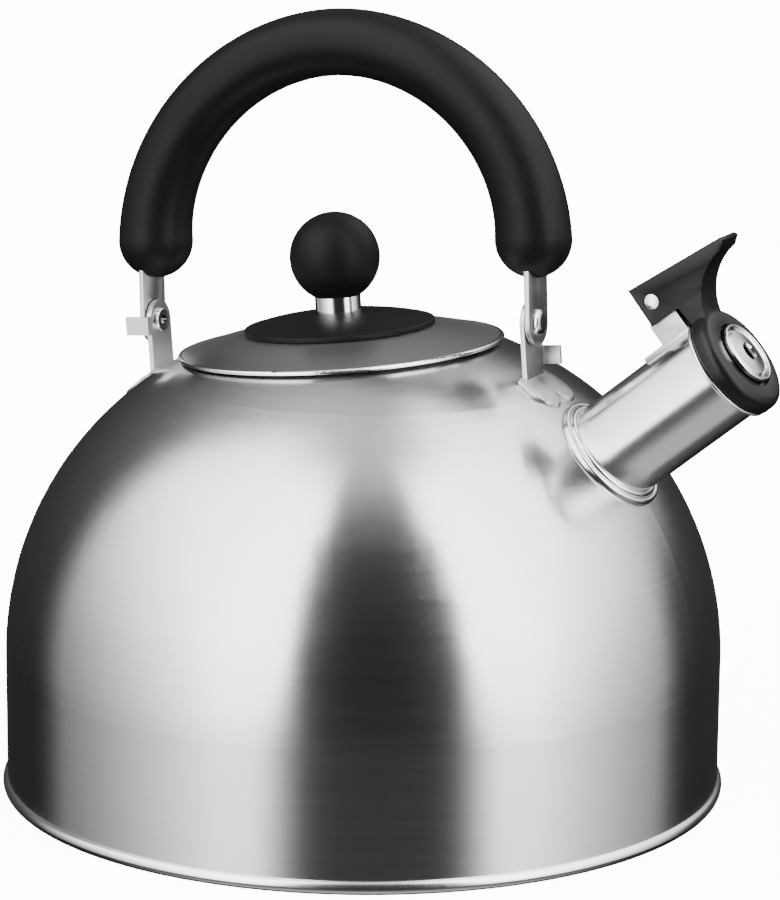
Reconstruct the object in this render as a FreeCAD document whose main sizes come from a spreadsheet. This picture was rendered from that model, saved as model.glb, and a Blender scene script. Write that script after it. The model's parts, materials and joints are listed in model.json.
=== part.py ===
"""Stovetop whistling kettle, as separate pieces on four bodies: kettle, handle, lid and cap.

Millimetres. The origin is the middle of the base on the stove, +Z is up and +X points to the spout. The spout and
both tilted axes lie in the XZ plane. Heights on the tilted axes are counted from one point on the body's centre
line, where the lid axis and the handle axis start. The handle stands leaning a little to the +Y side.
"""
import FreeCAD, Part
import math
import os

import Sketcher

# ---------------------------------------------------------------- driving dimensions
SIZES = {
    # body: a straight wall, a knuckle arc and a crown arc, in thin sheet
    "sheet": 0.8,
    "wall_radius": 108.4,
    "wall_top": 42.0,
    "knuckle": 100.0,
    "crown": 116.0,
    "axis_start": 38.5,
    # base pan and the rolled seam that joins it to the wall
    "seam_radius": 107.6,
    "seam_centre": 2.55,
    "seam_bead": 2.25,
    "seam_slot": 3.4,
    "pan_flat": 100.0,
    "pan_ring_depth": 0.4,
    # mouth, lid and knob, on the lid axis
    "lid_tilt": 4.9,
    "mouth_radius": 45.0,
    "neck_bottom": 88.0,
    "neck_top": 95.7,
    "lid_radius": 49.2,
    "lid_sheet": 0.8,
    "lid_apex": 104.3,
    "lid_crown": 168.0,
    "lid_rim_centre": 96.65,
    "skirt_radius": 44.5,
    "skirt_bottom": 88.5,
    "skirt_sheet": 0.6,
    "plate_radius": 28.7,
    "plate_top": 106.4,
    "plate_crown": 72.0,
    "ferrule_radius": 6.9,
    "ball_radius": 13.55,
    "ball_centre": 123.5,
    "insert_radius": 4.0,
    "screw_radius": 2.0,
    # handle, on the handle axis
    "handle_tilt": 4.8,
    "handle_lean": 6.0,
    "pivot_height": 104.0,
    "ear_inner": 61.6,
    "ear_sheet": 1.5,
    "ear_half_width": 6.2,
    "foot_sheet": 1.0,
    "strap_inner": 63.5,
    "strap_sheet": 1.6,
    "strap_half_width": 6.8,
    "strap_top": 140.0,
    "rivet_radius": 2.5,
    "running_gap": 0.05,
    "stop_gap": 0.1,
    "stop_sheet": 1.2,
    "arch_middle": 0.7,
    "arch_half_span": 63.2,
    "arch_rise": 58.8,
    "arch_foot": 128.4,
    "grip_end_radius": 11.4,
    "grip_top_radius": 10.0,
    # spout, on the spout axis
    "spout_angle": 39.3,
    "spout_offset": 5.5,
    "spout_radius": 15.1,
    "spout_sheet": 0.8,
    "spout_root": 103.5,
    "spout_mouth": 153.9,
    "lip_radius": 16.7,
    "collar_angle": 44.0,
    "collar_start_x": 8.4,
    "collar_start_z": 42.0,
    "collar_radius": 18.4,
    "collar_edge": 99.2,
    # whistle cap and its hinge, placed along and above the spout axis
    "hinge_along": 148.1,
    "hinge_above": 27.7,
    "pin_radius": 2.2,
    "bracket_half_width": 4.5,
    "bracket_sheet": 1.0,
    "bracket_round": 4.2,
    "cheek_inner": 4.85,
    "cheek_outer": 6.2,
    "cap_radius": 16.8,
    "cap_back": 154.15,
    "cap_front": 160.0,
    "whistle_radius": 9.6,
    "well_radius": 10.5,
    "spring_radius": 3.0,
    "spring_wire": 0.35,
}

PAN_RING_RADII = (30.0, 52.0, 74.0)
ARCH_SECTIONS = 13
ARCH_PINCH = 1.03


class Size:
    """A number together with the spreadsheet expression that it comes from."""

    def __init__(self, number, text):
        self.number = number
        self.text = text

    def __add__(self, other):
        other = as_size(other)
        return Size(self.number + other.number, f"({self.text} + {other.text})")

    __radd__ = __add__

    def __sub__(self, other):
        other = as_size(other)
        return Size(self.number - other.number, f"({self.text} - {other.text})")

    def __rsub__(self, other):
        return as_size(other) - self

    def __mul__(self, other):
        other = as_size(other)
        return Size(self.number * other.number, f"({self.text} * {other.text})")

    __rmul__ = __mul__

    def __truediv__(self, other):
        other = as_size(other)
        return Size(self.number / other.number, f"({self.text} / {other.text})")

    def __neg__(self):
        return Size(-self.number, f"(0 - {self.text})")


def as_size(value):
    return value if isinstance(value, Size) else Size(float(value), repr(float(value)))


def sheet(alias):
    return Size(SIZES[alias], f"Sizes.{alias}")


def root(value):
    return Size(math.sqrt(value.number), f"sqrt({value.text})")


def sine(value):
    return Size(math.sin(math.radians(value.number)), f"sin({value.text})")


def cosine(value):
    return Size(math.cos(math.radians(value.number)), f"cos({value.text})")


doc = FreeCAD.newDocument("Kettle")
cells = doc.addObject("Spreadsheet::Sheet", "Sizes")
for row, (alias, number) in enumerate(SIZES.items(), start=1):
    cells.set(f"A{row}", alias.replace("_", " "))
    cells.set(f"B{row}", str(number))
    cells.setAlias(f"B{row}", alias)
doc.recompute()


# ---------------------------------------------------------------- the three axes
def lid_at(radius, height):
    """A point of the XZ plane from its distance off the lid axis and its height along it."""
    tilt = sheet("lid_tilt")
    x = radius * cosine(tilt) - height * sine(tilt)
    z = sheet("axis_start") + radius * sine(tilt) + height * cosine(tilt)
    return x, z


def spout_at(along, above):
    """A point of the XZ plane from its distance along the spout axis and its height above that axis."""
    angle = sheet("spout_angle")
    rise = above + sheet("spout_offset")
    x = along * cosine(angle) - rise * sine(angle)
    z = sheet("axis_start") + along * sine(angle) + rise * cosine(angle)
    return x, z


def collar_at(radius, height):
    """A point off the dome's normal at the middle of the spout hole: radius off it, height along it."""
    radius, height = as_size(radius), as_size(height)
    sine_of, cosine_of = sine(sheet("collar_angle")), cosine(sheet("collar_angle"))
    across = height * cosine_of - radius * sine_of + sheet("collar_start_x")
    return across, height * sine_of + radius * cosine_of + sheet("collar_start_z")


def upright_at(radius, height):
    return as_size(radius), as_size(height)


LID = {"at": lambda radius, height: lid_at(as_size(radius), as_size(height)), "span": 100.0}
COLLAR = {"at": lambda radius, height: collar_at(radius, height), "span": 130.0}
SPOUT = {"at": lambda radius, along: spout_at(as_size(along), -as_size(radius)), "span": 100.0}
UPRIGHT = {"at": upright_at, "span": 100.0}

EAR_PLACE = FreeCAD.Placement(
    FreeCAD.Vector(0, 0, SIZES["axis_start"]),
    FreeCAD.Rotation(FreeCAD.Vector(0, -1, 0), SIZES["handle_tilt"]),
)
HANDLE_PLACE = EAR_PLACE * FreeCAD.Placement(
    FreeCAD.Vector(0, 0, 0),
    FreeCAD.Rotation(FreeCAD.Vector(-1, 0, 0), SIZES["handle_lean"]),
    FreeCAD.Vector(0, 0, SIZES["pivot_height"]),
)


# ---------------------------------------------------------------- modelling helpers
def new_body(label):
    body = doc.addObject("PartDesign::Body", "Body_" + label)
    body.Label = label
    return body


def origin_plane(body, role):
    return next(item for item in body.Origin.OriginFeatures if item.Role == role)


def new_sketch(body, role, offset=None):
    """A sketch on one of the body's origin planes, moved along the plane's normal by offset."""
    sketch = body.newObject("Sketcher::SketchObject", "Sketch")
    sketch.AttachmentSupport = [(origin_plane(body, role), "")]
    sketch.MapMode = "FlatFace"
    if offset is not None:
        offset = as_size(offset)
        sketch.AttachmentOffset = FreeCAD.Placement(FreeCAD.Vector(0, 0, offset.number), FreeCAD.Rotation())
        sketch.setExpression("AttachmentOffset.Base.z", offset.text)
    return sketch


def pin_point(sketch, edge, end, point):
    """Hold one end of an edge at a point whose coordinates come from the sheet."""
    for kind, axis, value in (("DistanceX", -2, point[0]), ("DistanceY", -1, point[1])):
        value = as_size(value)
        if abs(value.number) < 1e-9:
            sketch.addConstraint(Sketcher.Constraint("PointOnObject", edge, end, axis))
            continue
        index = sketch.addConstraint(Sketcher.Constraint(kind, -1, 1, edge, end, value.number))
        sketch.setExpression(f"Constraints[{index}]", value.text)


def vector(point):
    return FreeCAD.Vector(as_size(point[0]).number, as_size(point[1]).number, 0)


def arc_between(start, finish, radius):
    """The short arc from start to finish. A positive radius turns left, a negative one turns right."""
    chord = finish - start
    half = chord.Length / 2
    rise = math.sqrt(max(radius * radius - half * half, 0.0))
    left = FreeCAD.Vector(-chord.y, chord.x, 0).normalize()
    centre = (start + finish) * 0.5 + left * math.copysign(rise, radius)
    first, last = (start, finish) if radius > 0 else (finish, start)
    begin = math.atan2(first.y - centre.y, first.x - centre.x)
    end = math.atan2(last.y - centre.y, last.x - centre.x)
    circle = Part.Circle(centre, FreeCAD.Vector(0, 0, 1), abs(radius))
    return Part.ArcOfCircle(circle, begin, end)


def outline(sketch, points, arcs=None):
    """A closed outline through the points. arcs maps an edge's number to its signed radius."""
    arcs = arcs or {}
    ends = []
    for number, point in enumerate(points):
        start = vector(point)
        finish = vector(points[(number + 1) % len(points)])
        if number in arcs:
            radius = as_size(arcs[number])
            edge = sketch.addGeometry(arc_between(start, finish, radius.number), False)
            ends.append((edge, 1, 2) if radius.number > 0 else (edge, 2, 1))
            size = radius if radius.number > 0 else -radius
            index = sketch.addConstraint(Sketcher.Constraint("Radius", edge, size.number))
            sketch.setExpression(f"Constraints[{index}]", size.text)
        else:
            edge = sketch.addGeometry(Part.LineSegment(start, finish), False)
            ends.append((edge, 1, 2))
    for number, (edge, first, last) in enumerate(ends):
        following = ends[(number + 1) % len(ends)]
        sketch.addConstraint(Sketcher.Constraint("Coincident", edge, last, following[0], following[1]))
        pin_point(sketch, edge, first, points[number])


def circle_outline(sketch, centre, radius):
    radius = as_size(radius)
    middle = vector(centre)
    edge = sketch.addGeometry(Part.Circle(middle, FreeCAD.Vector(0, 0, 1), radius.number), False)
    index = sketch.addConstraint(Sketcher.Constraint("Radius", edge, radius.number))
    sketch.setExpression(f"Constraints[{index}]", radius.text)
    pin_point(sketch, edge, 3, centre)


def turned(body, kind, axis, profile, arcs=None):
    """A Revolution or Groove about one of the axes, from a profile of (radius, height) pairs."""
    sketch = new_sketch(body, "XZ_Plane")
    outline(sketch, [axis["at"](radius, height) for radius, height in profile], arcs)
    low, high = axis["at"](0.0, 0.0), axis["at"](0.0, axis["span"])
    line = sketch.addGeometry(Part.LineSegment(vector(low), vector(high)), True)
    pin_point(sketch, line, 1, low)
    pin_point(sketch, line, 2, high)
    feature = body.newObject("PartDesign::" + kind, kind)
    feature.Profile = sketch
    feature.ReferenceAxis = (sketch, ["Axis0"])
    feature.Angle = 360.0
    body.Tip = feature
    return feature


def slab(body, kind, points, half_width, arcs=None):
    """A Pad or Pocket of an XZ outline, to the same distance on both sides of the XZ plane."""
    sketch = new_sketch(body, "XZ_Plane")
    outline(sketch, points, arcs)
    return push_both_ways(body, kind, sketch, half_width)


def push_both_ways(body, kind, sketch, half_width):
    half_width = as_size(half_width)
    feature = body.newObject("PartDesign::" + kind, kind)
    feature.Profile = sketch
    feature.Midplane = True
    feature.Length = 2 * half_width.number
    feature.setExpression("Length", f"2 * {half_width.text}")
    body.Tip = feature
    return feature


def push(body, kind, sketch, length, reverse=False):
    length = as_size(length)
    feature = body.newObject("PartDesign::" + kind, kind)
    feature.Profile = sketch
    feature.Length = length.number
    feature.setExpression("Length", length.text)
    feature.Reversed = reverse
    body.Tip = feature
    return feature


def box_pad(body, low, high):
    """A rectangular block between two corners, as a Pad of an XY rectangle."""
    sketch = new_sketch(body, "XY_Plane", low[2])
    corners = [(low[0], low[1]), (high[0], low[1]), (high[0], high[1]), (low[0], high[1])]
    outline(sketch, corners)
    return push(body, "Pad", sketch, as_size(high[2]) - as_size(low[2]))


def boolean(kind, label, base, tool):
    feature = doc.addObject("Part::" + kind, label)
    feature.Base = base
    feature.Tool = tool
    feature.Label = label
    return feature


# ---------------------------------------------------------------- the body and its base
def dome_profile(growth=0.0, bottom=0.0):
    """Half the body's outer outline, grown outwards: foot, top of wall, arc joint and apex."""
    wall = sheet("wall_radius")
    knuckle = sheet("knuckle")
    crown = sheet("crown")
    drop = root((crown - knuckle) * (crown - knuckle) - (wall - knuckle) * (wall - knuckle))
    low_centre = sheet("wall_top") - drop
    share = (crown + growth) / (crown - knuckle)
    points = [
        (wall + growth, as_size(bottom)),
        (wall + growth, sheet("wall_top")),
        ((wall - knuckle) * share, low_centre + drop * share),
        (as_size(0.0), low_centre + crown + growth),
    ]
    return points, knuckle + growth, crown + growth


def solid_dome(label, growth):
    body = new_body(label)
    points, knuckle, crown = dome_profile(growth)
    turned(body, "Revolution", UPRIGHT, points + [(0.0, 0.0)], {1: knuckle, 2: crown})
    return body


def make_body_shell():
    body = new_body("body_shell")
    outer, knuckle, crown = dome_profile(0.0, sheet("seam_slot"))
    inner, inner_knuckle, inner_crown = dome_profile(-sheet("sheet"), sheet("seam_slot"))
    profile = outer + inner[::-1]
    turned(body, "Revolution", UPRIGHT, profile, {1: knuckle, 2: crown, 4: -inner_crown, 5: -inner_knuckle})
    mouth = sheet("mouth_radius")
    wall = mouth + sheet("sheet")
    low, high = sheet("neck_bottom"), sheet("neck_top")
    turned(body, "Revolution", LID, [(mouth - 1.0, low), (wall, low), (wall, high), (mouth - 1.0, high)])
    turned(body, "Groove", LID, [(0.0, 80.0), (mouth, 80.0), (mouth, 115.0), (0.0, 115.0)])
    hole = sheet("spout_radius")
    turned(body, "Groove", SPOUT, [(0.0, 90.0), (hole, 90.0), (hole, 120.0), (0.0, 120.0)])
    return body


def make_base_pan():
    body = new_body("base_pan")
    centre, height, bead = sheet("seam_radius"), sheet("seam_centre"), sheet("seam_bead")
    flat, gauge = sheet("pan_flat"), sheet("sheet")
    low_in = bead * 0.8889
    low_down = root(bead * bead - low_in * low_in)
    high_in = bead * 0.4444
    high_up = root(bead * bead - high_in * high_in)
    profile = [
        (0.0, 0.0),
        (flat, 0.0),
        (flat + 3.0, 1.3),
        (centre - low_in, height - low_down),
        (centre + bead, height),
        (centre - high_in, height + high_up),
        (centre - 2.4, 3.0),
        (flat + 2.9, 2.4),
        (flat - 0.1, gauge),
        (0.0, gauge),
    ]
    turned(body, "Revolution", UPRIGHT, profile, {3: bead, 4: bead})
    inner = sheet("wall_radius") - gauge
    slot = sheet("seam_slot")
    corners = [(inner, slot), (sheet("wall_radius"), slot), (sheet("wall_radius"), 8.0), (inner, 8.0)]
    turned(body, "Groove", UPRIGHT, corners)
    for radius in PAN_RING_RADII:
        depth = sheet("pan_ring_depth")
        ring = [(radius - 1.2, -1.0), (radius + 1.2, -1.0), (radius + 0.7, depth), (radius - 0.7, depth)]
        turned(body, "Groove", UPRIGHT, ring)
    return body


# ---------------------------------------------------------------- the spout
def make_spout_tube():
    body = new_body("spout_tube")
    outer = sheet("spout_radius")
    inner = outer - sheet("spout_sheet")
    start, mouth, lip = sheet("spout_root"), sheet("spout_mouth"), sheet("lip_radius")
    profile = [
        (inner, start),
        (outer, start),
        (outer, mouth - 1.5),
        (lip - 0.35, mouth - 1.0),
        (lip - 0.35, mouth),
        (inner + 0.6, mouth),
        (inner, mouth - 0.6),
    ]
    turned(body, "Revolution", SPOUT, profile, {3: 0.6})
    return body


def make_spout_collar():
    """A double bead turned about the dome's normal, cut to the dome below it and to the tube inside it."""
    body = new_body("spout_collar")
    outer, edge, tube = sheet("collar_radius"), sheet("collar_edge"), sheet("spout_radius")
    inner = tube - 2.6
    profile = [
        (inner, 95.0),
        (outer, 95.0),
        (outer, edge),
        (outer - 1.7, edge + 0.7),
        (outer - 3.6, edge + 1.7),
        (inner, edge + 1.7),
    ]
    turned(body, "Revolution", COLLAR, profile, {2: -1.0, 3: -1.15})
    points, knuckle, crown = dome_profile(0.0)
    turned(body, "Groove", UPRIGHT, points + [(0.0, 0.0)], {1: knuckle, 2: crown})
    turned(body, "Groove", SPOUT, [(0.0, 80.0), (tube, 80.0), (tube, 130.0), (0.0, 130.0)])
    return body


# ---------------------------------------------------------------- ears that carry the handle
def make_ear(side, label, dome, grown_dome):
    """A sheet bracket: a round-topped plate, two lobes on the dome and one stop tab bent outwards."""
    inner = sheet("ear_inner")
    outer = inner + sheet("ear_sheet")
    half, pivot = sheet("ear_half_width"), sheet("pivot_height")

    plate = new_body(label + "_plate")
    sketch = new_sketch(plate, "YZ_Plane", inner if side > 0 else -outer)
    corners = [(-half, 78.0), (half, 78.0), (half, pivot), (0.0, pivot + half), (-half, pivot)]
    outline(sketch, corners, {2: half, 3: half})
    push(plate, "Pad", sketch, sheet("ear_sheet"))
    if side > 0:
        # The fold stop on the far edge: the folded strap comes down on its top.
        low, high, edge = 90.5, 96.0, 1
        reach = 68.3
    else:
        # The upright stop on the near edge: the upright strap leans on its inner face.
        low, high, edge = 100.4, 106.0, -1
        reach = 69.3
    gap = sheet("strap_half_width") + sheet("stop_gap")
    tab_outer = gap + sheet("stop_sheet")
    near, far = sorted((edge * (half.number - 1.5), edge * tab_outer.number))
    root_x = sorted((side * inner.number, side * outer.number))
    box_pad(plate, (root_x[0], near, low), (root_x[1], far, high))
    near, far = sorted((edge * gap.number, edge * tab_outer.number))
    tab_x = sorted((side * inner.number, side * reach))
    box_pad(plate, (tab_x[0], near, low), (tab_x[1], far, high))
    sketch = new_sketch(plate, "YZ_Plane")
    circle_outline(sketch, (0.0, pivot), sheet("rivet_radius") + sheet("running_gap"))
    push_both_ways(plate, "Pocket", sketch, 90.0)
    plate.Placement = EAR_PLACE
    plate_on_dome = boolean("Cut", label + "_plate_on_dome", plate, dome)

    foot = new_body(label + "_foot")
    lobe_x, lobe_y, lobe_radius = side * 66.4, 4.9, 5.8
    for lobe in (-1, 1):
        sketch = new_sketch(foot, "XY_Plane", 70.0)
        circle_outline(sketch, (lobe_x, lobe * lobe_y), lobe_radius)
        push(foot, "Pad", sketch, 28.0)
    x_low, x_high = sorted((side * inner.number, side * 66.4))
    box_pad(foot, (x_low, -9.6, 70.0), (x_high, 9.6, 98.0))
    foot.Placement = EAR_PLACE
    foot_skin = boolean("Common", label + "_foot_skin", foot, grown_dome)
    foot_on_dome = boolean("Cut", label + "_foot_on_dome", foot_skin, dome)
    return boolean("Fuse", label, plate_on_dome, foot_on_dome)


# ---------------------------------------------------------------- the handle
def make_strap(side, label):
    body = new_body(label)
    inner, gauge = sheet("strap_inner"), sheet("strap_sheet")
    half, pivot = sheet("strap_half_width"), sheet("pivot_height")
    sketch = new_sketch(body, "YZ_Plane", inner if side > 0 else -(inner + gauge))
    top = sheet("strap_top")
    corners = [(-half, pivot), (0.0, pivot - half), (half, pivot), (half, top), (-half, top)]
    outline(sketch, corners, {0: half, 1: half})
    push(body, "Pad", sketch, gauge)
    sketch = new_sketch(body, "YZ_Plane")
    circle_outline(sketch, (0.0, pivot), sheet("rivet_radius"))
    push_both_ways(body, "Pocket", sketch, 90.0)
    body.Placement = HANDLE_PLACE
    return body


def handle_pivot_axis(side):
    """Distances off the pivot axis, and places along it counted outwards from the middle of the kettle."""
    pivot = sheet("pivot_height")
    return {"at": lambda radius, out: (side * as_size(out), pivot + radius), "span": 50.0}


def make_rivet(side, label):
    body = new_body(label)
    shank = sheet("rivet_radius")
    back = sheet("ear_inner") - sheet("running_gap")
    front = sheet("strap_inner") + sheet("strap_sheet")
    profile = [
        (1.5, back - 1.0),
        (3.1, back - 1.0),
        (3.7, back - 0.4),
        (3.7, back),
        (shank, back),
        (shank, front),
        (3.9, front),
        (3.9, front + 0.4),
        (1.6, front + 1.4),
        (0.0, front + 1.4),
        (0.0, back + 2.0),
        (1.5, back + 2.0),
    ]
    turn = -1.0 if side > 0 else 1.0
    turned(body, "Revolution", handle_pivot_axis(side), profile, {7: turn * 3.2})
    body.Placement = HANDLE_PLACE
    return body


def make_washer(side, label):
    body = new_body(label)
    shank = sheet("rivet_radius")
    low = sheet("ear_inner") + sheet("ear_sheet") + sheet("running_gap")
    high = sheet("strap_inner")
    profile = [(shank, low), (5.6, low), (5.6, high), (shank, high)]
    turned(body, "Revolution", handle_pivot_axis(side), profile)
    body.Placement = HANDLE_PLACE
    return body


def make_handle_grip():
    """Round sections along half an oval, thinner at the top, with a half ball at each end."""
    body = new_body("handle_grip")
    middle, span = sheet("arch_middle"), sheet("arch_half_span")
    rise, foot = sheet("arch_rise"), sheet("arch_foot")
    end_radius, top_radius = sheet("grip_end_radius"), sheet("grip_top_radius")
    sections = []
    for number in range(ARCH_SECTIONS):
        angle = math.pi * number / (ARCH_SECTIONS - 1)
        across = math.copysign(abs(math.cos(angle)) ** ARCH_PINCH, math.cos(angle))
        up = math.sin(angle) ** ARCH_PINCH
        radius = end_radius - (end_radius - top_radius) * up ** 0.7
        sketch = body.newObject("Sketcher::SketchObject", "Section")
        sketch.AttachmentSupport = [(origin_plane(body, "XY_Plane"), "")]
        sketch.MapMode = "FlatFace"
        lean = math.degrees(math.atan2(-span.number * up, rise.number * across))
        place = FreeCAD.Vector(middle.number + span.number * across, 0, foot.number + rise.number * up)
        sketch.AttachmentOffset = FreeCAD.Placement(place, FreeCAD.Rotation(FreeCAD.Vector(0, 1, 0), lean))
        sketch.setExpression("AttachmentOffset.Base.x", (middle + span * across).text)
        sketch.setExpression("AttachmentOffset.Base.z", (foot + rise * up).text)
        circle_outline(sketch, (0.0, 0.0), radius)
        sections.append(sketch)
    loft = body.newObject("PartDesign::AdditiveLoft", "Arch")
    loft.Profile = sections[0]
    loft.Sections = sections[1:]
    body.Tip = loft
    for side in (-1, 1):
        centre = middle + side * span
        axis = {"at": lambda radius, height, centre=centre: (centre + radius, as_size(height)), "span": 50.0}
        profile = [(0.0, foot - end_radius), (end_radius, foot), (0.0, foot)]
        turned(body, "Revolution", axis, profile, {0: end_radius})
    top, bottom = sheet("strap_top"), foot - end_radius - 2.0
    inner, outer = sheet("strap_inner"), sheet("strap_inner") + sheet("strap_sheet")
    half = sheet("strap_half_width")
    for side in (-1, 1):
        low, high = (inner, outer) if side > 0 else (-outer, -inner)
        sketch = new_sketch(body, "XY_Plane", bottom)
        outline(sketch, [(low, -half), (high, -half), (high, half), (low, half)])
        push(body, "Pocket", sketch, top - bottom, reverse=True)
    body.Placement = HANDLE_PLACE
    return body


# ---------------------------------------------------------------- the lid and its knob
def crown_height(radius, sink=0.0):
    """Height of the lid's upper face, sunk by a thickness, at a distance off the lid axis."""
    arc = sheet("lid_crown") - sink
    radius = as_size(radius)
    return sheet("lid_apex") - sheet("lid_crown") + root(arc * arc - radius * radius)


def make_lid_shell():
    body = new_body("lid_shell")
    hole = sheet("screw_radius") + 0.1
    rim, centre, gauge = sheet("lid_radius"), sheet("lid_rim_centre"), sheet("lid_sheet")
    crown = sheet("lid_crown")
    profile = [
        (hole, crown_height(hole, gauge)),
        (rim - 2.3, crown_height(rim - 2.3, gauge)),
        (rim - 1.6, centre - 0.1),
        (rim - 0.6, centre - 0.6),
        (rim, centre),
        (rim - 1.3, crown_height(rim - 1.3)),
        (hole, crown_height(hole)),
    ]
    turned(body, "Revolution", LID, profile, {0: -(crown - gauge), 3: 0.8, 4: 0.9, 5: crown})
    return body


def make_lid_skirt():
    body = new_body("lid_skirt")
    outer, gauge = sheet("skirt_radius"), sheet("skirt_sheet")
    low = sheet("skirt_bottom")
    sink = sheet("lid_sheet") + 0.05
    profile = [
        (outer - gauge, low),
        (outer, low),
        (outer, crown_height(outer, sink)),
        (outer - 3.5, crown_height(outer - 3.5, sink)),
        (outer - 3.5, crown_height(outer - 3.5, sink) - gauge),
        (outer - gauge, crown_height(outer - gauge, sink) - gauge),
    ]
    turned(body, "Revolution", LID, profile)
    return body


def make_knob_disc():
    body = new_body("knob_disc")
    bore, rim, top = sheet("screw_radius") + 0.1, sheet("plate_radius"), sheet("plate_top")
    crown = sheet("lid_crown")
    lift = -0.05
    edge = crown_height(rim, lift)
    profile = [
        (bore, crown_height(bore, lift)),
        (rim - 0.4, crown_height(rim - 0.4, lift)),
        (rim, edge + 0.4),
        (rim, edge + 1.1),
        (rim - 0.8, edge + 1.8),
        (sheet("ferrule_radius") + 0.6, top),
        (bore, top),
    ]
    turned(body, "Revolution", LID, profile, {0: -(crown - lift), 3: 0.8, 4: sheet("plate_crown")})
    return body


def ball_flat():
    """Height where the ball is cut flat to sit on the ferrule."""
    ball, ring = sheet("ball_radius"), sheet("ferrule_radius")
    return sheet("ball_centre") - root(ball * ball - ring * ring)


def make_knob_ferrule():
    body = new_body("knob_ferrule")
    outer = sheet("ferrule_radius")
    low, high = sheet("plate_top"), ball_flat()
    profile = [(outer - 0.8, low), (outer, low), (outer, high), (outer - 0.8, high)]
    turned(body, "Revolution", LID, profile)
    return body


def make_lid_knob():
    body = new_body("lid_knob")
    ball, ring, centre = sheet("ball_radius"), sheet("ferrule_radius"), sheet("ball_centre")
    bore = sheet("insert_radius")
    well = centre + 2.0
    profile = [
        (bore, ball_flat()),
        (ring, ball_flat()),
        (ball, centre),
        (0.0, centre + ball),
        (0.0, well),
        (bore, well),
    ]
    turned(body, "Revolution", LID, profile, {1: ball, 2: ball})
    return body


def make_knob_insert():
    body = new_body("knob_insert")
    bore, outer = sheet("screw_radius"), sheet("insert_radius")
    low, high = ball_flat(), sheet("ball_centre") + 2.0
    turned(body, "Revolution", LID, [(bore, low), (outer, low), (outer, high), (bore, high)])
    return body


def make_knob_washer():
    body = new_body("knob_washer")
    bore = sheet("screw_radius") + 0.1
    top = sheet("lid_apex") - sheet("lid_sheet") - 0.12
    turned(body, "Revolution", LID, [(bore, top - 1.0), (6.0, top - 1.0), (6.0, top), (bore, top)])
    return body


def make_knob_screw():
    """A round-headed screw from below, with a cross-shaped recess in the head."""
    body = new_body("knob_screw")
    shank = sheet("screw_radius")
    seat = sheet("lid_apex") - sheet("lid_sheet") - 1.12
    top = sheet("ball_centre") - 1.0
    profile = [
        (0.0, seat - 2.4),
        (2.0, seat - 2.4),
        (3.9, seat - 0.9),
        (3.9, seat),
        (shank, seat),
        (shank, top - 0.6),
        (shank - 0.6, top),
        (0.0, top),
    ]
    turned(body, "Revolution", LID, profile, {1: 2.6})
    for wide, deep in ((1.6, 0.4), (0.35, 1.6)):
        corners = [(-wide, seat - 3.4), (wide, seat - 3.4), (wide, seat - 1.3), (-wide, seat - 1.3)]
        slab(body, "Pocket", [LID["at"](radius, height) for radius, height in corners], deep)
    return body


# ---------------------------------------------------------------- the whistle cap and its hinge
def spout_points(pairs):
    return [spout_at(as_size(along), as_size(above)) for along, above in pairs]


def hinge_circle(body, kind, radius, half_width):
    sketch = new_sketch(body, "XZ_Plane")
    circle_outline(sketch, spout_at(sheet("hinge_along"), sheet("hinge_above")), radius)
    return push_both_ways(body, kind, sketch, half_width)


def make_cap_bracket():
    """A channel welded to the top of the spout, whose two sides hold the hinge pin."""
    body = new_body("cap_bracket")
    along, above, top = sheet("hinge_along"), sheet("hinge_above"), sheet("bracket_round")
    half, gauge = sheet("bracket_half_width"), sheet("bracket_sheet")
    sides = [
        (along - 5.5, 12.0),
        (along + 4.1, 12.0),
        (along + 4.1, 22.0),
        (along + top, 23.5),
        (along + top, above),
        (along, above + top),
        (along - top, above),
        (along - top, 23.5),
        (along - 5.5, 22.0),
    ]
    slab(body, "Pad", spout_points(sides), half, {4: top, 5: top})
    floor = sheet("spout_radius") + gauge
    inside = [(along - 7.0, floor), (along + 3.1, floor), (along + 3.1, 34.0), (along - 7.0, 34.0)]
    slab(body, "Pocket", spout_points(inside), half - gauge)
    over = [(along + 3.0, 22.0), (along + 7.0, 22.0), (along + 7.0, 34.0), (along + 3.0, 34.0)]
    slab(body, "Pocket", spout_points(over), half - gauge)
    hinge_circle(body, "Pocket", sheet("pin_radius"), 10.0)
    radius = sheet("spout_radius")
    strip = [(135.5, 12.0), (152.4, 12.0), (152.4, radius + 0.8), (135.5, radius + 0.8)]
    slab(body, "Pad", spout_points(strip), half + 0.6)
    turned(body, "Groove", SPOUT, [(0.0, 130.0), (radius, 130.0), (radius, 165.0), (0.0, 165.0)])
    return body


def make_cap_pin():
    body = new_body("cap_pin")
    hinge_circle(body, "Pad", sheet("pin_radius"), sheet("cheek_outer") - 0.3)
    hinge_circle(body, "Pad", sheet("pin_radius") - 0.4, sheet("cheek_outer") + 0.1)
    return body


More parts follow.
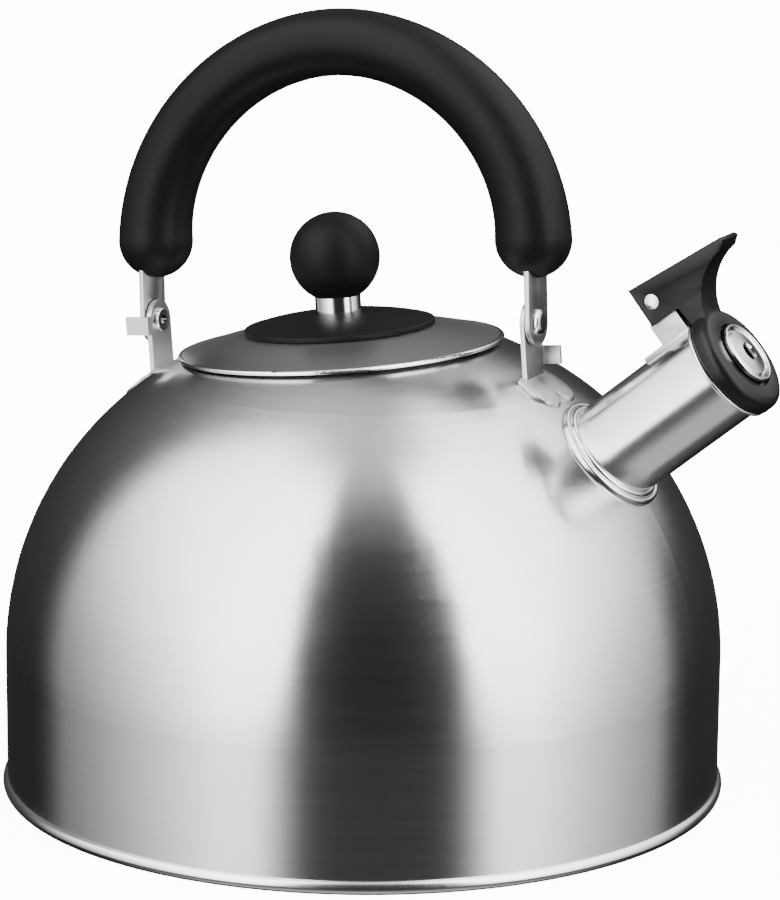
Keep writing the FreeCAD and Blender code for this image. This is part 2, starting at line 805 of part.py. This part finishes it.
def make_cap_spring():
    """A torsion spring round the pin: close coils with one leg on the bracket floor and one on the lever."""
    body = new_body("cap_spring")
    wire, mean = sheet("spring_wire"), sheet("spring_radius")
    sketch = new_sketch(body, "XY_Plane")
    circle_outline(sketch, (mean, 0.0), wire)
    coil = body.newObject("PartDesign::AdditiveHelix", "Coil")
    coil.Profile = sketch
    coil.ReferenceAxis = (sketch, ["V_Axis"])
    coil.Mode = 0
    coil.Pitch = 0.9
    coil.Height = 4.5
    body.Tip = coil
    sketch = new_sketch(body, "XZ_Plane", -wire)
    outline(sketch, [(mean - wire, 0.0), (mean + wire, 0.0), (mean + wire, 9.5), (mean - wire, 9.5)])
    push_both_ways(body, "Pad", sketch, wire)
    sketch = new_sketch(body, "XZ_Plane", -(wire + 4.5))
    outline(sketch, [(mean - wire, -3.1), (mean + wire, -3.1), (mean + wire, 0.0), (mean - wire, 0.0)])
    push_both_ways(body, "Pad", sketch, wire)
    x, z = spout_at(sheet("hinge_along"), sheet("hinge_above"))
    turn = FreeCAD.Rotation(FreeCAD.Vector(0, 1, 0), 180.0 - SIZES["spout_angle"])
    body.Placement = FreeCAD.Placement(FreeCAD.Vector(x.number, -2.3, z.number), turn)
    return body


def make_cap_body():
    """The moulded cap: a ring over the mouth, a thumb lever and two cheeks round the bracket."""
    body = new_body("cap_body")
    outer, back, front = sheet("cap_radius"), sheet("cap_back"), sheet("cap_front")
    hole, well = sheet("whistle_radius") + 0.2, sheet("well_radius")
    ring = [
        (hole, back + 1.5),
        (13.7, back + 1.5),
        (13.7, back),
        (outer - 0.5, back),
        (outer, back + 0.6),
        (outer, back + 2.9),
        (outer - 2.4, front),
        (well, front),
        (well, front - 2.4),
        (hole, front - 2.4),
    ]
    turned(body, "Revolution", SPOUT, ring, {5: 3.0})
    half = sheet("cheek_outer")
    along, above = sheet("hinge_along"), sheet("hinge_above")
    lever = [
        (along - 4.1, above - 5.9),
        (along + 5.8, above - 6.1),
        (back + 0.4, 13.5),
        (along + 10.9, 13.9),
        (along + 26.6, above - 0.1),
        (along + 28.9, above + 1.7),
        (along + 28.3, above + 2.9),
        (along - 3.9, above + 6.5),
    ]
    slab(body, "Pad", spout_points(lever), half, {3: -17.2})
    inside = [
        (along - 8.0, above - 9.0),
        (along + 5.8, above - 9.0),
        (along + 5.8, above + 4.7),
        (along - 8.0, above + 4.7),
    ]
    slab(body, "Pocket", spout_points(inside), sheet("cheek_inner"))
    hinge_circle(body, "Pocket", sheet("pin_radius") + sheet("running_gap"), 10.0)
    clear = [(0.0, front - 2.4), (well, front - 2.4), (well, 175.0), (0.0, 175.0)]
    turned(body, "Groove", SPOUT, clear)
    return body


def make_whistle_cup():
    body = new_body("whistle_cup")
    outer, floor = sheet("whistle_radius") + 0.15, sheet("cap_front") - 2.4
    profile = [
        (outer - 0.5, floor - 5.4),
        (outer, floor - 5.4),
        (outer, floor),
        (outer + 0.6, floor),
        (outer + 0.6, floor + 0.4),
        (outer - 0.5, floor + 0.4),
    ]
    turned(body, "Revolution", SPOUT, profile)
    return body


def make_whistle_front_plate():
    """The polished outer plate: a rolled rim, a pressed channel, a shallow dome and a round hole."""
    body = new_body("whistle_front_plate")
    rim, low = sheet("whistle_radius"), sheet("cap_front") - 2.0
    top = sheet("cap_front") + 1.7
    profile = [
        (rim - 0.5, low),
        (rim, low),
        (rim, top - 0.5),
        (rim - 1.0, top - 0.5),
        (rim - 1.7, top - 1.1),
        (rim - 2.5, top - 0.5),
        (3.0, top + 0.1),
        (2.6, top - 0.4),
        (2.6, top - 0.9),
        (3.2, top - 0.5),
        (rim - 2.6, top - 1.1),
        (rim - 1.7, top - 1.7),
        (rim - 0.8, top - 1.2),
        (rim - 0.5, top - 1.2),
    ]
    turned(body, "Revolution", SPOUT, profile, {2: 0.52})
    return body


def make_whistle_back_plate():
    body = new_body("whistle_back_plate")
    outer, low = sheet("whistle_radius") - 0.35, sheet("cap_front") - 4.4
    profile = [
        (1.2, low),
        (5.0, low),
        (6.0, low - 0.8),
        (outer, low - 0.8),
        (outer, low - 0.3),
        (6.2, low - 0.3),
        (5.2, low + 0.5),
        (1.2, low + 0.5),
    ]
    turned(body, "Revolution", SPOUT, profile)
    return body


# ---------------------------------------------------------------- build, check and write
plain_dome = solid_dome("dome_form", 0.0)
foot_dome = solid_dome("foot_form", SIZES["foot_sheet"])

subparts = [
    make_body_shell(),
    make_base_pan(),
    make_spout_tube(),
    make_spout_collar(),
    make_ear(-1, "left_ear", plain_dome, foot_dome),
    make_ear(1, "right_ear", plain_dome, foot_dome),
    make_handle_grip(),
    make_strap(-1, "left_strap"),
    make_strap(1, "right_strap"),
    make_rivet(-1, "left_rivet"),
    make_rivet(1, "right_rivet"),
    make_washer(-1, "left_washer"),
    make_washer(1, "right_washer"),
    make_lid_shell(),
    make_lid_skirt(),
    make_knob_disc(),
    make_knob_ferrule(),
    make_lid_knob(),
    make_knob_insert(),
    make_knob_washer(),
    make_knob_screw(),
    make_cap_bracket(),
    make_cap_pin(),
    make_cap_spring(),
    make_cap_body(),
    make_whistle_cup(),
    make_whistle_front_plate(),
    make_whistle_back_plate(),
]
doc.recompute()

faults = []
for item in doc.Objects:
    if "Invalid" in item.State or "Error" in item.State:
        faults.append(f"{item.Label}: {item.State}")
for part in subparts:
    shape = part.Shape
    if shape.isNull() or not shape.isValid() or not shape.Solids:
        faults.append(f"{part.Label}: no valid solid")
    else:
        print(f"{part.Label}: {len(shape.Solids)} solid(s), {shape.Volume / 1000.0:.2f} cm3")
if faults:
    raise RuntimeError("; ".join(faults))

os.makedirs("parts", exist_ok=True)
for part in subparts:
    part.Shape.exportStep(f"parts/{part.Label}.step")
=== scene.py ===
"""The finished looks of a stovetop whistling kettle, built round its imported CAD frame.

Lengths are metres. The base stands on the floor at the origin, +Z is up and +X points to the spout.
"""
import json
import math

import bmesh
import bpy
import numpy as np
from mathutils import Matrix, Vector


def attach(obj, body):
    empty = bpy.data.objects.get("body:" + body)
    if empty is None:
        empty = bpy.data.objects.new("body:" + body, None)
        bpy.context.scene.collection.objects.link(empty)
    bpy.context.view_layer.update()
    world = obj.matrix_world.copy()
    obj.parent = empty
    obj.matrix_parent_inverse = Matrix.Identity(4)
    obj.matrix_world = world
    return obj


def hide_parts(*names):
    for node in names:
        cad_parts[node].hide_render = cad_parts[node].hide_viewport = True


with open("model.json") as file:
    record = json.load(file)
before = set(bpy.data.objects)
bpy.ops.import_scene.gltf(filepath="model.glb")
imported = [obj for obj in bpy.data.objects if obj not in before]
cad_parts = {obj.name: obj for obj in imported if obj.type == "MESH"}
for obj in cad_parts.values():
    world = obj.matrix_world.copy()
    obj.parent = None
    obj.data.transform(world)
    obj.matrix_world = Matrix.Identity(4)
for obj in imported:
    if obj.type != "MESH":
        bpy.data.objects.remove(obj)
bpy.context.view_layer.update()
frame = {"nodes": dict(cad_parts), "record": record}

MM = 0.001

# Shape facts that the turned pieces and the patterns follow: millimetres and degrees.
AXES_START_HEIGHT = 38.5
HANDLE_TILT = 4.8
PIVOT_HEIGHT = 104.0
SPOUT_TILT = 39.3
SPOUT_OFFSET = 5.5
LID_RIM_POLISH = 47.6
PAN_FLAT = 100.0
PAN_GAUGE = 0.8
PAN_RINGS = (30.0, 52.0, 74.0)
RING_DEPTH = 0.4
SEAM_RADIUS = 107.6
SEAM_CENTRE = 2.55
SEAM_BEAD = 2.2
RIVET_BACK = 61.55
RIVET_FRONT = 65.1
RIVET_SHANK = 2.5

# Light: how strongly the floor and the backdrop shine, and how fast brightness grows with a tent tone.
FLOOR_GLOW = 12.0
BACKDROP_GLOW = 14.0
DIFFUSE_GLOW = 0.9
TONE_STEEPNESS = 6.8
MIDDLE_TONE = 0.745
MIDDLE_GLOW = 1.35


# ---------------------------------------------------------------- shader building
class Value:
    """A shader socket used in arithmetic: every operator adds one Math node to its graph."""

    def __init__(self, graph, socket):
        self.graph = graph
        self.socket = socket

    def math(self, operation, *others):
        node = self.graph.node("ShaderNodeMath", {"operation": operation}, self, *others)
        return Value(self.graph, node.outputs[0])

    def __add__(self, other):
        return self.math("ADD", other)

    __radd__ = __add__

    def __mul__(self, other):
        return self.math("MULTIPLY", other)

    __rmul__ = __mul__

    def __sub__(self, other):
        return self.math("SUBTRACT", other)

    def __rsub__(self, other):
        return (self * -1.0) + other

    def __truediv__(self, other):
        return self.math("DIVIDE", other)

    def root(self):
        return self.math("SQRT")

    def exponential(self):
        return self.math("EXPONENT")

    def angle(self):
        """The angle in degrees whose cosine is this value."""
        return self.math("ARCCOSINE") * (180.0 / math.pi)

    def rise_angle(self):
        """The angle in degrees whose sine is this value."""
        return self.math("ARCSINE") * (180.0 / math.pi)

    def at_least(self, other):
        return self.math("MAXIMUM", other)

    def step(self, low, high):
        """0 below low, 1 above high and a smooth rise between them."""
        settings = {"interpolation_type": "SMOOTHSTEP"}
        node = self.graph.node("ShaderNodeMapRange", settings, self, low, high, 0.0, 1.0)
        return Value(self.graph, node.outputs[0])


class Graph:
    """The nodes of one material or world."""

    def __init__(self, tree):
        self.tree = tree
        tree.nodes.clear()

    def node(self, kind, settings=None, *values, **named):
        """Adds a node: its settings first, then its input sockets by place or by name."""
        node = self.tree.nodes.new(kind)
        for key, setting in (settings or {}).items():
            setattr(node, key, setting)
        sockets = [socket for socket in node.inputs if socket.enabled]
        for place, value in list(enumerate(values)) + list(named.items()):
            socket = sockets[place] if isinstance(place, int) else node.inputs[place.replace("_", " ")]
            if isinstance(value, Value):
                value = value.socket
            if isinstance(value, bpy.types.NodeSocket):
                self.tree.links.new(value, socket)
            else:
                socket.default_value = value
        return node

    def place(self):
        return self.node("ShaderNodeTexCoord").outputs["Object"]

    def parts(self, vector):
        node = self.node("ShaderNodeSeparateXYZ", None, vector)
        return [Value(self, output) for output in node.outputs]

    def vector(self, x, y, z):
        return self.node("ShaderNodeCombineXYZ", None, x, y, z).outputs[0]

    def noise(self, vector, scale, detail=3.0, roughness=0.5):
        node = self.node("ShaderNodeTexNoise", None, Vector=vector, Scale=scale, Detail=detail, Roughness=roughness)
        return Value(self, node.outputs[0])

    def mix(self, factor, low, high):
        """A colour between low and high."""
        node = self.node("ShaderNodeMix", {"data_type": "RGBA"})
        for socket, value in zip((node.inputs[0], node.inputs[6], node.inputs[7]), (factor, low, high)):
            if isinstance(value, Value):
                value = value.socket
            if isinstance(value, bpy.types.NodeSocket):
                self.tree.links.new(value, socket)
            else:
                socket.default_value = value
        return node.outputs[2]


def new_graph(name):
    material = bpy.data.materials.new(name)
    material.use_nodes = True
    return material, Graph(material.node_tree)


def finish_surface(graph, colour, roughness, metallic, height=None, depth=0.0, **constants):
    """A Principled surface whose bump, when there is one, stands for a relief of the given depth in metres."""
    named = {"Base_Color": colour, "Roughness": roughness, "Metallic": metallic, **constants}
    if height is not None:
        bump = graph.node("ShaderNodeBump", None, Strength=1.0, Distance=depth, Height=height)
        named["Normal"] = bump.outputs[0]
    shader = graph.node("ShaderNodeBsdfPrincipled", None, **named)
    graph.node("ShaderNodeOutputMaterial", None, Surface=shader.outputs[0])


def grey(level, warm=0.0):
    return (level * (1.0 + warm), level, level * (1.0 - warm), 1.0)


# ---------------------------------------------------------------- materials
def turned_place(graph, axis):
    """Coordinates that follow a turned piece: two for the direction round its axis, the radius and the height."""
    origin, matrix = AXES[axis]
    node = graph.node("ShaderNodeMapping", {"vector_type": "TEXTURE"}, graph.place())
    node.inputs["Location"].default_value = origin
    node.inputs["Rotation"].default_value = matrix.to_euler()
    x, y, z = graph.parts(node.outputs[0])
    radius = (x * x + y * y + 1e-10).root()
    return x / radius, y / radius, radius, z


def brushed_steel(name, axis, level, roughness, across, spread, gloss=0.3, bright_from=None, contrast=1.0):
    """Steel with fine brushing round an axis, stacked in height when across is 1 and in radius when it is 0.

    Past the radius bright_from the brushing gives way to a polished band.
    """
    material, graph = new_graph(name)
    c, s, radius, z = turned_place(graph, axis)
    stack = z if across else radius
    fine = graph.noise(graph.vector(c * 1.5, s * 1.5, stack * 2400.0), 1.0, 2.0, 0.6)
    streak = graph.noise(graph.vector(c * 4.0, s * 4.0, stack * 900.0), 1.0, 4.0, 0.65)
    cloud = graph.noise(graph.place(), 22.0, 3.0)
    tone = ((fine - 0.5) * 0.12 + (streak - 0.5) * 0.22 + (cloud - 0.5) * 0.08) * contrast + 0.5
    colour = graph.mix(tone, grey(level * 0.72, 0.004), grey(min(level * 1.26, 1.0), 0.002))
    rough = (streak - 0.5) * spread + (cloud - 0.5) * (spread * 0.6) + roughness
    if bright_from is not None:
        polish = radius.step(bright_from, bright_from + 0.5 * MM)
        colour = graph.mix(polish, colour, grey(0.9))
        rough = rough * (1.0 - polish * 0.6)
    finish_surface(graph, colour, rough, 1.0, fine, 1.5e-7 * contrast, Anisotropic=gloss, Anisotropic_Rotation=0.25)
    return material


def polished_steel(name, level, roughness):
    """Bright steel with faint polishing swirls and handling marks."""
    material, graph = new_graph(name)
    place = graph.place()
    swirl = graph.noise(place, 420.0, 3.0, 0.6)
    smear = graph.noise(place, 35.0, 4.0, 0.55)
    colour = graph.mix(smear, grey(level * 0.9), grey(min(level * 1.06, 1.0)))
    rough = (swirl - 0.5) * 0.05 + (smear - 0.5) * 0.06 + roughness
    finish_surface(graph, colour, rough, 1.0, swirl, 1.2e-6)
    return material


def sheet_steel(name, level, roughness):
    """Pressed sheet steel with a short straight grain and slightly brighter worn spots."""
    material, graph = new_graph(name)
    x, y, z = graph.parts(graph.place())
    grain = graph.noise(graph.vector(x * 2600.0, y * 2600.0, z * 160.0), 1.0, 3.0, 0.6)
    wear = graph.noise(graph.place(), 90.0, 4.0, 0.6)
    colour = graph.mix((grain - 0.5) * 0.5 + wear, grey(level * 0.8), grey(min(level * 1.12, 1.0)))
    rough = (grain - 0.5) * 0.12 + (wear - 0.5) * 0.16 + roughness
    finish_surface(graph, colour, rough, 1.0, grain, 3.0e-6)
    return material


def moulded_plastic(name, level, roughness, depth, gloss):
    """Black phenolic moulding: a fine pebbled skin with faint cloudy gloss and rubbed patches."""
    material, graph = new_graph(name)
    place = graph.place()
    pebble = graph.noise(place, 1900.0, 2.0, 0.55)
    cloud = graph.noise(place, 26.0, 3.0, 0.5)
    rub = graph.noise(place, 75.0, 4.0, 0.6).step(0.52, 0.72)
    colour = graph.mix(cloud * 0.7 + pebble * 0.3, grey(level * 0.6), grey(level * 1.5))
    rough = (cloud - 0.5) * 0.14 + (pebble - 0.5) * 0.16 - rub * 0.05 + roughness
    finish_surface(graph, colour, rough, 0.0, pebble, depth, Specular_IOR_Level=gloss)
    return material


def turned_brass(name):
    material, graph = new_graph(name)
    c, s, radius, z = turned_place(graph, "lid")
    ring = graph.noise(graph.vector(c, s, z * 3000.0), 1.0, 3.0)
    colour = graph.mix(ring, (0.62, 0.42, 0.16, 1.0), (0.86, 0.66, 0.34, 1.0))
    finish_surface(graph, colour, (ring - 0.5) * 0.15 + 0.3, 1.0, ring, 3.0e-6)
    return material


def floor_surface(name):
    """A plain pale sweep, lit from beneath like a light table, with the faintest mottling."""
    material, graph = new_graph(name)
    mottle = graph.noise(graph.place(), 3.0, 3.0)
    colour = graph.mix(mottle, grey(0.88), grey(0.92))
    glow = {"Emission_Color": grey(1.0), "Emission_Strength": FLOOR_GLOW}
    finish_surface(graph, colour, (mottle - 0.5) * 0.1 + 0.85, 0.0, **glow)
    return material


# ---------------------------------------------------------------- axes taken from the frame
def joint(name):
    return next(item for item in frame["record"]["behaviour"]["joints"] if item["name"] == name)


def tilted(direction):
    """A turn whose local Z is the direction and whose local Y stays level along world Y."""
    up = Vector(direction).normalized()
    across = Vector((0.0, 1.0, 0.0))
    side = across.cross(up).normalized()
    return Matrix((side, across, up)).transposed()


AXIS_START = Vector((0.0, 0.0, AXES_START_HEIGHT * MM))
LID_UP = Vector(joint("lid_lift")["axis"])
SPOUT_ANGLE = math.radians(SPOUT_TILT)
SPOUT_ALONG = Vector((math.cos(SPOUT_ANGLE), 0.0, math.sin(SPOUT_ANGLE)))
SPOUT_ABOVE = Vector((-math.sin(SPOUT_ANGLE), 0.0, math.cos(SPOUT_ANGLE)))
SPOUT_START = AXIS_START + SPOUT_OFFSET * MM * SPOUT_ABOVE
AXES = {
    "body": (Vector(), Matrix.Identity(3)),
    "lid": (AXIS_START, tilted(LID_UP)),
    "spout": (SPOUT_START, tilted(SPOUT_ALONG)),
}


# ---------------------------------------------------------------- finishes on the pieces
body_steel = brushed_steel("body_brushed_steel", "body", 0.62, 0.2, 1, 0.05, 0.8)
lid_steel = brushed_steel("lid_brushed_steel", "lid", 0.55, 0.3, 0, 0.03, 0.3, LID_RIM_POLISH * MM, 0.3)
base_steel = polished_steel("base_polished_steel", 0.78, 0.2)
spout_steel = polished_steel("spout_polished_steel", 0.88, 0.19)
bright_steel = polished_steel("bright_steel", 0.8, 0.1)
pressed_steel = sheet_steel("pressed_steel", 0.5, 0.34)
spring_steel = sheet_steel("spring_wire", 0.4, 0.35)
grip_plastic = moulded_plastic("grip_plastic", 0.005, 0.45, 1.4e-5, 0.11)
knob_plastic = moulded_plastic("knob_plastic", 0.005, 0.5, 8.0e-6, 0.11)
cap_plastic = moulded_plastic("cap_plastic", 0.006, 0.34, 4.0e-6, 0.2)
brass = turned_brass("turned_brass")

FINISHES = {
    "body_shell": body_steel,
    "base_pan": base_steel,
    "spout_tube": spout_steel,
    "spout_collar": bright_steel,
    "left_ear": pressed_steel,
    "right_ear": pressed_steel,
    "cap_bracket": pressed_steel,
    "cap_pin": bright_steel,
    "cap_spring": spring_steel,
    "handle_grip": grip_plastic,
    "left_strap": pressed_steel,
    "right_strap": pressed_steel,
    "left_rivet": bright_steel,
    "right_rivet": bright_steel,
    "left_washer": pressed_steel,
    "right_washer": pressed_steel,
    "lid_shell": lid_steel,
    "lid_skirt": pressed_steel,
    "knob_disc": knob_plastic,
    "knob_ferrule": bright_steel,
    "lid_knob": knob_plastic,
    "knob_insert": brass,
    "knob_washer": pressed_steel,
    "knob_screw": bright_steel,
    "cap_body": cap_plastic,
    "whistle_cup": bright_steel,
    "whistle_front_plate": bright_steel,
    "whistle_back_plate": bright_steel,
}
for node, finish in FINISHES.items():
    materials = frame["nodes"][node].data.materials
    for place in range(len(materials)):
        materials[place] = finish


# ---------------------------------------------------------------- pieces with their edges broken
def eased_copy(node, body, width, merge_flats):
    """A copy of a CAD node whose sharp edges are rounded to the given width, as a press or a mould leaves them."""
    source = frame["nodes"][node]
    piece = bpy.data.objects.new(node + "_eased", source.data.copy())
    bpy.context.scene.collection.objects.link(piece)
    shape = bmesh.new()
    shape.from_mesh(piece.data)
    bmesh.ops.remove_doubles(shape, verts=shape.verts, dist=1e-6)
    if merge_flats:
        bmesh.ops.dissolve_limit(shape, angle_limit=math.radians(1.0), verts=shape.verts, edges=shape.edges)
    for face in shape.faces:
        face.smooth = True
    shape.to_mesh(piece.data)
    shape.free()
    bevel = piece.modifiers.new("eased_edges", "BEVEL")
    bevel.width = width
    bevel.segments = 3
    bevel.limit_method = "ANGLE"
    bevel.angle_limit = math.radians(35.0)
    bevel.use_clamp_overlap = True
    bevel.harden_normals = True
    stand_for(piece, node, body)


def stand_for(piece, node, body):
    """Puts a finished piece in a CAD node's place: under the same body, with the CAD node hidden."""
    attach(piece, body)
    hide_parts(node)
    next(item["material_slot"] for item in frame["record"]["subparts"] if item["node"] == node)


def profile_line(corners, arcs, steps=10):
    """A closed line of (radius, height) corners.

    An edge named in arcs bulges out as an arc of a circle of that radius.
    """
    corners = np.array(corners)
    line = []
    for edge, (start, finish) in enumerate(zip(corners, np.roll(corners, -1, axis=0))):
        if edge not in arcs:
            line.append(start[None, :])
            continue
        middle, half = (start + finish) / 2, (finish - start) / 2
        reach = np.hypot(*half)
        left = np.array((-half[1], half[0])) / reach
        centre = middle + left * math.sqrt(max(arcs[edge] ** 2 - reach ** 2, 0.0))
        begin = math.atan2(*(start - centre)[::-1])
        sweep = (math.atan2(*(finish - centre)[::-1]) - begin) % (2 * math.pi)
        angle = begin + sweep * np.arange(steps) / steps
        line.append(centre + arcs[edge] * np.stack((np.cos(angle), np.sin(angle)), axis=1))
    return np.concatenate(line) * MM


def turned_piece(node, body, axis, corners, arcs, turns):
    """A solid of revolution.

    At turn a, a profile point (r, h) stands at origin + r (cos a, sin a) across the axis + h along it.
    """
    origin, matrix = axis
    radius, height = profile_line(corners, arcs).T
    turn = np.linspace(0.0, 2.0 * np.pi, turns, endpoint=False)
    local = np.stack(
        (np.outer(radius, np.cos(turn)), np.outer(radius, np.sin(turn)), np.outer(height, np.ones(turns))), axis=-1
    )
    points = local.reshape(-1, 3) @ np.array(matrix).T + np.array(origin)
    along, around = np.meshgrid(np.arange(len(radius)), np.arange(turns), indexing="ij")
    next_along, next_around = (along + 1) % len(radius), (around + 1) % turns
    corner = (along, around), (along, next_around), (next_along, next_around), (next_along, around)
    faces = np.stack([a * turns + b for a, b in corner], axis=-1).reshape(-1, 4)
    mesh = bpy.data.meshes.new(node + "_turned")
    mesh.from_pydata(points.tolist(), [], faces.tolist())
    shape = bmesh.new()
    shape.from_mesh(mesh)
    bmesh.ops.remove_doubles(shape, verts=shape.verts, dist=1e-7)
    bmesh.ops.dissolve_degenerate(shape, edges=shape.edges, dist=1e-8)
    for face in shape.faces:
        face.smooth = True
    shape.to_mesh(mesh)
    shape.free()
    mesh.set_sharp_from_angle(angle=math.radians(32.0))
    mesh.materials.append(FINISHES[node])
    piece = bpy.data.objects.new(node + "_turned", mesh)
    bpy.context.scene.collection.objects.link(piece)
    stand_for(piece, node, body)


# The base pan: flat, pressed rings, then the seam rolled round the foot of the wall.
LOW_IN, HIGH_IN = SEAM_BEAD * 0.8889, SEAM_BEAD * 0.4444
PAN_CORNERS = [(0.0, 0.0)]
for ring in PAN_RINGS:
    PAN_CORNERS += [(ring - 1.0, 0.0), (ring - 0.7, RING_DEPTH), (ring + 0.7, RING_DEPTH), (ring + 1.0, 0.0)]
PAN_CORNERS += [
    (PAN_FLAT, 0.0),
    (PAN_FLAT + 3.0, 1.3),
    (SEAM_RADIUS - LOW_IN, SEAM_CENTRE - math.sqrt(SEAM_BEAD ** 2 - LOW_IN ** 2)),
    (SEAM_RADIUS + SEAM_BEAD, SEAM_CENTRE),
    (SEAM_RADIUS - HIGH_IN, SEAM_CENTRE + math.sqrt(SEAM_BEAD ** 2 - HIGH_IN ** 2)),
    (SEAM_RADIUS - 2.4, 3.0),
    (PAN_FLAT + 2.9, 2.4),
    (PAN_FLAT - 0.1, PAN_GAUGE),
    (0.0, PAN_GAUGE),
]
FIRST_BEAD = len(PAN_CORNERS) - 7
turned_piece(
    "base_pan", "kettle", AXES["body"], PAN_CORNERS, {FIRST_BEAD: SEAM_BEAD, FIRST_BEAD + 1: SEAM_BEAD}, 288
)

# The pivot rivets: a hollow end inside the ear, a shank, and a low round head outside the strap.
EAR_TILT = math.radians(HANDLE_TILT)
PIVOT = AXIS_START + PIVOT_HEIGHT * MM * Vector((-math.sin(EAR_TILT), 0.0, math.cos(EAR_TILT)))
RIVET_CORNERS = [
    (1.5, RIVET_BACK - 1.0),
    (3.1, RIVET_BACK - 1.0),
    (3.7, RIVET_BACK - 0.4),
    (3.7, RIVET_BACK),
    (RIVET_SHANK, RIVET_BACK),
    (RIVET_SHANK, RIVET_FRONT),
    (3.9, RIVET_FRONT),
    (3.9, RIVET_FRONT + 0.4),
    (1.6, RIVET_FRONT + 1.4),
    (0.0, RIVET_FRONT + 1.4),
    (0.0, RIVET_BACK + 2.0),
    (1.5, RIVET_BACK + 2.0),
]
for node, side in (("left_rivet", -1.0), ("right_rivet", 1.0)):
    outwards = side * Vector((math.cos(EAR_TILT), 0.0, math.sin(EAR_TILT)))
    turned_piece(node, "handle", (PIVOT, tilted(outwards)), RIVET_CORNERS, {1: 0.5, 7: 3.2}, 96)


for node, body, width, merge_flats in (
    ("cap_body", "cap", 0.45 * MM, False),
    ("cap_bracket", "kettle", 0.25 * MM, False),
    ("left_strap", "handle", 0.35 * MM, True),
    ("right_strap", "handle", 0.35 * MM, True),
    ("right_ear", "kettle", 0.3 * MM, True),
    ("cap_pin", "kettle", 0.3 * MM, False),
):
    eased_copy(node, body, width, merge_flats)


# ---------------------------------------------------------------- floor, light and camera
def add_floor():
    """A large flat sheet just under the base."""
    size = 6.0
    corners = [(-size, -size, 0.0), (size, -size, 0.0), (size, size, 0.0), (-size, size, 0.0)]
    mesh = bpy.data.meshes.new("floor")
    mesh.from_pydata(corners, [], [(0, 1, 2, 3)])
    mesh.materials.append(floor_surface("floor_paper"))
    floor = bpy.data.objects.new("floor", mesh)
    bpy.context.scene.collection.objects.link(floor)
    floor.visible_glossy = False
    floor.visible_diffuse = False


CAMERA_AZIMUTH = math.radians(26.0)
CAMERA_PLACE = Vector((0.48764, -0.99980, 0.35461))
CAMERA_FORWARD = Vector((-0.42169, 0.87960, -0.22019)).normalized()
CAMERA_ROLL = math.radians(0.5175)
CAMERA_LENS = 151.55


def add_camera():
    right = CAMERA_FORWARD.cross(Vector((0.0, 0.0, 1.0))).normalized()
    up = right.cross(CAMERA_FORWARD)
    cosine, sine = math.cos(CAMERA_ROLL), math.sin(CAMERA_ROLL)
    right, up = cosine * right + sine * up, cosine * up - sine * right
    turn = Matrix((right, up, -CAMERA_FORWARD)).transposed()
    data = bpy.data.cameras.new("camera")
    data.sensor_fit = "VERTICAL"
    data.sensor_height = 36.0
    data.lens = CAMERA_LENS
    data.clip_start = 0.01
    camera = bpy.data.objects.new("camera", data)
    camera.matrix_world = Matrix.Translation(CAMERA_PLACE) @ turn.to_4x4()
    bpy.context.scene.collection.objects.link(camera)
    bpy.context.scene.camera = camera


def light_tent():
    """A world like a studio tent: two wide bright walls, a dark gap in front, a dark back and a grey roof.

    The tone runs from 0, black, to 1, white, by how far a direction turns from the front and how high it points.
    """
    world = bpy.data.worlds.new("light_tent")
    bpy.context.scene.world = world
    world.use_nodes = True
    graph = Graph(world.node_tree)
    x, y, z = graph.parts(graph.node("ShaderNodeTexCoord").outputs["Generated"])
    front_turn = CAMERA_AZIMUTH + math.radians(5.0)
    front = x * math.sin(front_turn) - y * math.cos(front_turn)
    side = x * math.cos(front_turn) + y * math.sin(front_turn)
    reach = (front * front + side * side + 1e-8).root()
    lean = side / reach
    turn = (front / reach).angle()
    rise = z.rise_angle()
    # The walls on both sides, a little darker far round and near the floor.
    slope = 0.0058 - rise.step(-10.0, 50.0) * 0.0046
    wall = 0.99 - (turn - 50.0).at_least(0.0) * slope - (1.0 - rise.step(-20.0, 20.0)) * 0.07
    # The dark gap straight ahead, wider near the floor and lighter high up.
    gap_tone = rise.step(34.0, 86.0) * 0.57 + 0.155 + (1.0 - rise.step(-15.0, 15.0)) * 0.05
    gap_core = rise.step(-14.0, 8.0) * 10.5 + 13.5
    gap_edge = (1.0 - rise.step(-20.0, 12.0)) * 12.0 + 30.0
    gap = 1.0 - turn.step(gap_core, gap_edge)
    # The dark back, which the right wall covers above the horizon.
    back_tone = (rise + 15.0) * 0.0059 + 0.18
    right_wall = lean.step(0.3, 0.65) * rise.step(2.0, 16.0)
    back = (turn + lean * 7.0).step(106.0, 130.0) * (1.0 - right_wall)
    tone = wall * (1.0 - gap) + gap_tone * gap
    tone = tone * (1.0 - back) + back_tone * back
    # The grey roof.
    roof = rise.step(66.0, 86.0)
    tone = tone * (1.0 - roof) + roof * 0.73
    # The table below, darkest just under the horizon and towards the back.
    table = rise.step(-23.5, -19.5)
    table_tone = (1.0 - rise.step(-60.0, -28.0)) * 0.28 + 0.34 - turn.step(80.0, 120.0) * 0.3
    tone = tone * table + table_tone * (1.0 - table)
    level = ((tone - MIDDLE_TONE) * TONE_STEEPNESS).exponential() * MIDDLE_GLOW
    path = graph.node("ShaderNodeLightPath")
    seen = Value(graph, path.outputs["Is Camera Ray"])
    diffuse = Value(graph, path.outputs["Is Diffuse Ray"])
    strength = seen * BACKDROP_GLOW + (1.0 - seen) * (diffuse * DIFFUSE_GLOW + (1.0 - diffuse) * level)
    background = graph.node("ShaderNodeBackground", None, Color=(1.0, 1.0, 1.0, 1.0), Strength=strength)
    graph.node("ShaderNodeOutputWorld", None, Surface=background.outputs[0])


add_floor()
add_camera()
light_tent()

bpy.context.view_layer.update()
